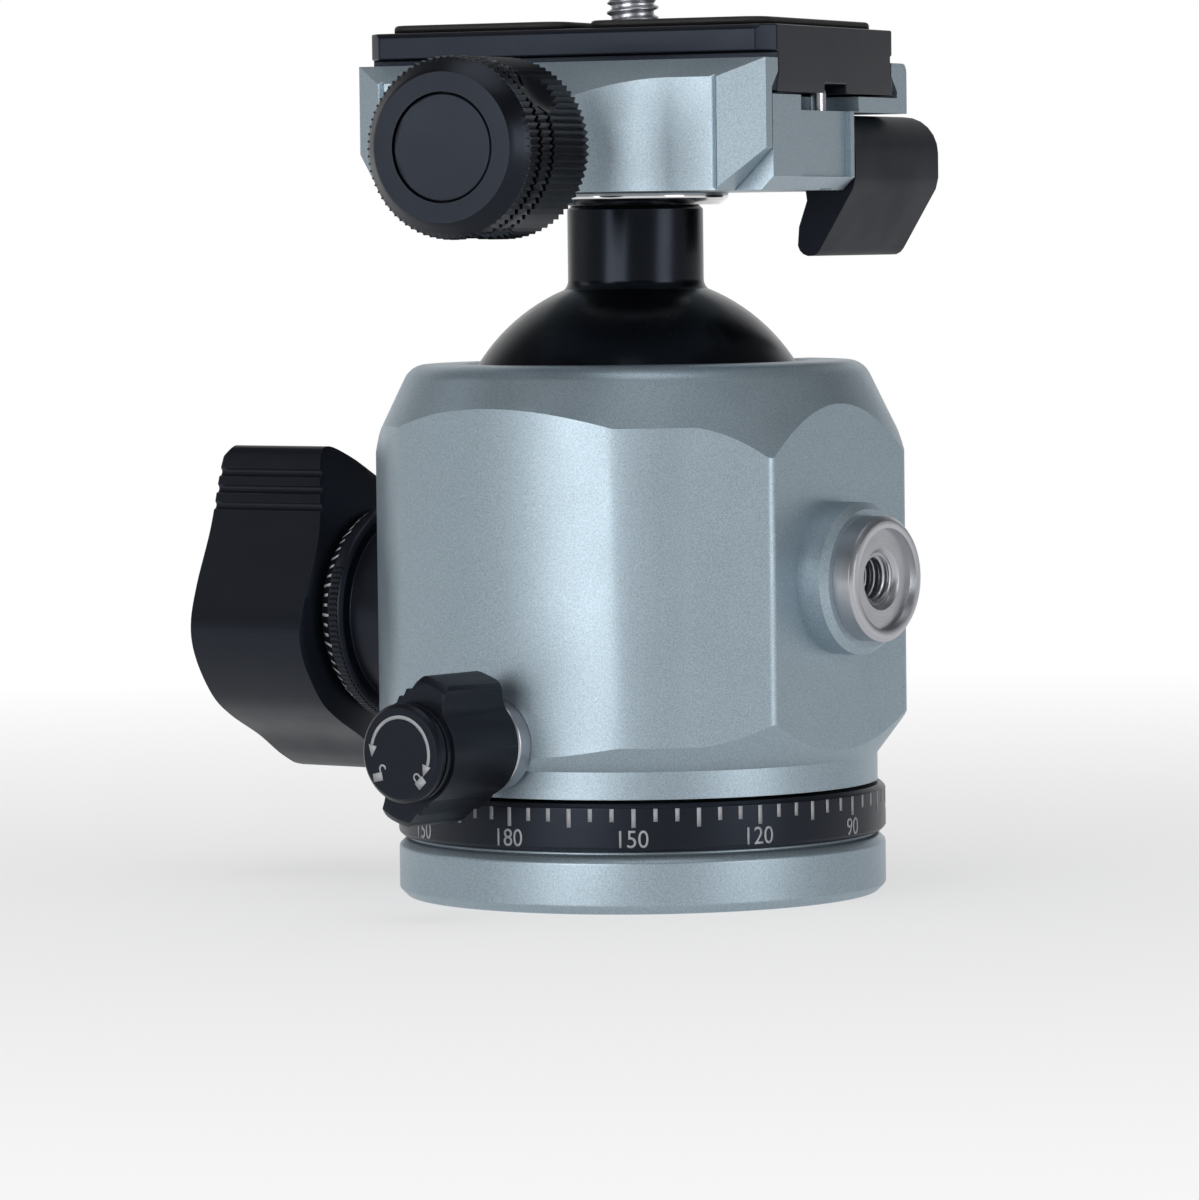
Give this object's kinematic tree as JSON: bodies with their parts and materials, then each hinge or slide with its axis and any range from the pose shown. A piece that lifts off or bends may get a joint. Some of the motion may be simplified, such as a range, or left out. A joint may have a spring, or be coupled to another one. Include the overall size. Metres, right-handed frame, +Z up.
{
  "type": "ball head",
  "caption": "Camera ball head: panning base with degree ring, ball socket with wing knobs, neck and screw clamp holding a dovetail camera plate.",
  "frame": {"origin": "centre of the base's underside, on the tripod thread's axis", "axes": "+Z up along the pan axis, -Y front with the pan knob, main knob towards -X, accessory thread towards +X"},
  "size_m": [0.0967, 0.0904, 0.11],
  "materials": {
    "titanium": "bead-blasted titanium-grey anodise",
    "black_anodised": "satin black anodise",
    "ball_black": "smooth black anodise",
    "bare_aluminium": "turned bare aluminium",
    "steel": "turned stainless steel",
    "polished_steel": "polished stainless steel",
    "brass": "machined brass",
    "nylon": "moulded acetal",
    "pad_rubber": "ribbed black rubber"
  },
  "bodies": {
    "base": {"base_plate": "titanium", "tripod_bush": "steel", "scale_ring": "black_anodised", "pan_spindle": "bare_aluminium", "base_screws": "steel", "lower_washer": "nylon"},
    "housing": {"housing": "titanium", "accessory_bush": "steel", "upper_seat": "nylon", "bearing_plate": "titanium", "bearing_screws": "steel", "upper_washer": "nylon", "knob_bush": "brass", "pan_bush": "steel"},
    "cup": {"lower_cup": "nylon"},
    "wedge": {"thrust_wedge": "brass"},
    "main_knob": {"main_screw": "steel", "main_knob": "black_anodised", "main_knob_cap": "black_anodised"},
    "friction_dial": {"friction_dial": "black_anodised"},
    "pan_knob": {"pan_screw": "steel", "pan_knob": "black_anodised", "pan_knob_cap": "black_anodised"},
    "pan_shoe": {"pan_shoe": "brass"},
    "ball": {"ball_stem": "ball_black", "stem_collar": "polished_steel"},
    "clamp": {"clamp_bolt": "steel", "clamp_body": "titanium", "guide_pins": "steel", "jaw_springs": "steel"},
    "jaw": {"clamp_jaw": "titanium", "thrust_washer": "steel"},
    "clamp_knob": {"clamp_screw": "steel", "clamp_knob": "black_anodised", "clamp_knob_cap": "black_anodised"},
    "lever": {"release_lever": "black_anodised", "lever_shaft": "steel"},
    "stop_pin": {"stop_pin": "steel"},
    "plate": {"quick_plate": "black_anodised", "plate_pads": "pad_rubber"},
    "camera_screw": {"camera_screw": "steel"}
  },
  "joints": [
    {"name": "pan", "type": "hinge", "parent": "base", "child": "housing", "pos_m": [0, 0, 0.02], "axis": [0, 0, 1], "continuous": true},
    {"name": "ball_tilt", "type": "hinge", "parent": "housing", "child": "ball", "pos_m": [0, 0, 0.053], "axis": [-1, 0, 0], "range_deg": [-35, 60]},
    {"name": "ball_spin", "type": "hinge", "parent": "ball", "child": "clamp", "pos_m": [0, 0, 0.053], "axis": [0, 0, 1], "continuous": true},
    {"name": "main_knob_turn", "type": "hinge", "parent": "housing", "child": "main_knob", "pos_m": [-0.03, 0, 0.0338], "axis": [-1, 0, 0], "range_deg": [0, 300]},
    {"name": "wedge_slide", "type": "slide", "parent": "housing", "child": "wedge", "axis": [-1, 0, 0], "range_m": [0, 0.001]},
    {"name": "cup_slide", "type": "slide", "parent": "housing", "child": "cup", "axis": [0, 0, -1], "range_m": [0, 0.0004]},
    {"name": "friction_dial_turn", "type": "hinge", "parent": "housing", "child": "friction_dial", "pos_m": [-0.03, 0, 0.0338], "axis": [-1, 0, 0], "range_deg": [0, 270]},
    {"name": "pan_knob_turn", "type": "hinge", "parent": "housing", "child": "pan_knob", "pos_m": [0, -0.03, 0.0203], "axis": [0, -1, 0], "range_deg": [0, 180]},
    {"name": "pan_shoe_slide", "type": "slide", "parent": "housing", "child": "pan_shoe", "axis": [0, -1, 0], "range_m": [0, 0.0004]},
    {"name": "jaw_slide", "type": "slide", "parent": "clamp", "child": "jaw", "axis": [0.1994, -0.9799, 0], "range_m": [0, 0.004], "deforming": ["jaw_springs"]},
    {"name": "clamp_knob_turn", "type": "hinge", "parent": "jaw", "child": "clamp_knob", "pos_m": [0, 0, 0.0912], "axis": [0.1994, -0.9799, 0], "range_deg": [0, 1440]},
    {"name": "lever_turn", "type": "hinge", "parent": "clamp", "child": "lever", "pos_m": [0.02058, 0.00419, 0.0907], "axis": [-0.1994, 0.9799, 0], "range_deg": [0, 20], "stiffness_Nm_per_rad": 0.1},
    {"name": "stop_pin_slide", "type": "slide", "parent": "clamp", "child": "stop_pin", "axis": [0, 0, -1], "range_m": [0, 0.00102], "stiffness_N_per_m": 2, "springref_m": -0.003},
    {"name": "plate_slide", "type": "slide", "parent": "clamp", "child": "plate", "axis": [0.9799, 0.1994, 0], "range_m": [-0.03, 0.003]},
    {"name": "camera_screw_turn", "type": "hinge", "parent": "plate", "child": "camera_screw", "pos_m": [0, 0, 0.105], "axis": [0, 0, 1], "continuous": true}
  ],
  "couplings": [
    {"joint": "wedge_slide", "follows": "main_knob_turn", "m_per_rad": 0.00019099},
    {"joint": "cup_slide", "follows": "main_knob_turn", "m_per_rad": 0.000076394},
    {"joint": "pan_shoe_slide", "follows": "pan_knob_turn", "m_per_rad": 0.00012732},
    {"joint": "clamp_knob_turn", "follows": "jaw_slide", "rad_per_m": 6283.2},
    {"joint": "stop_pin_slide", "follows": "lever_turn", "m_per_rad": 0.0029}
  ]
}
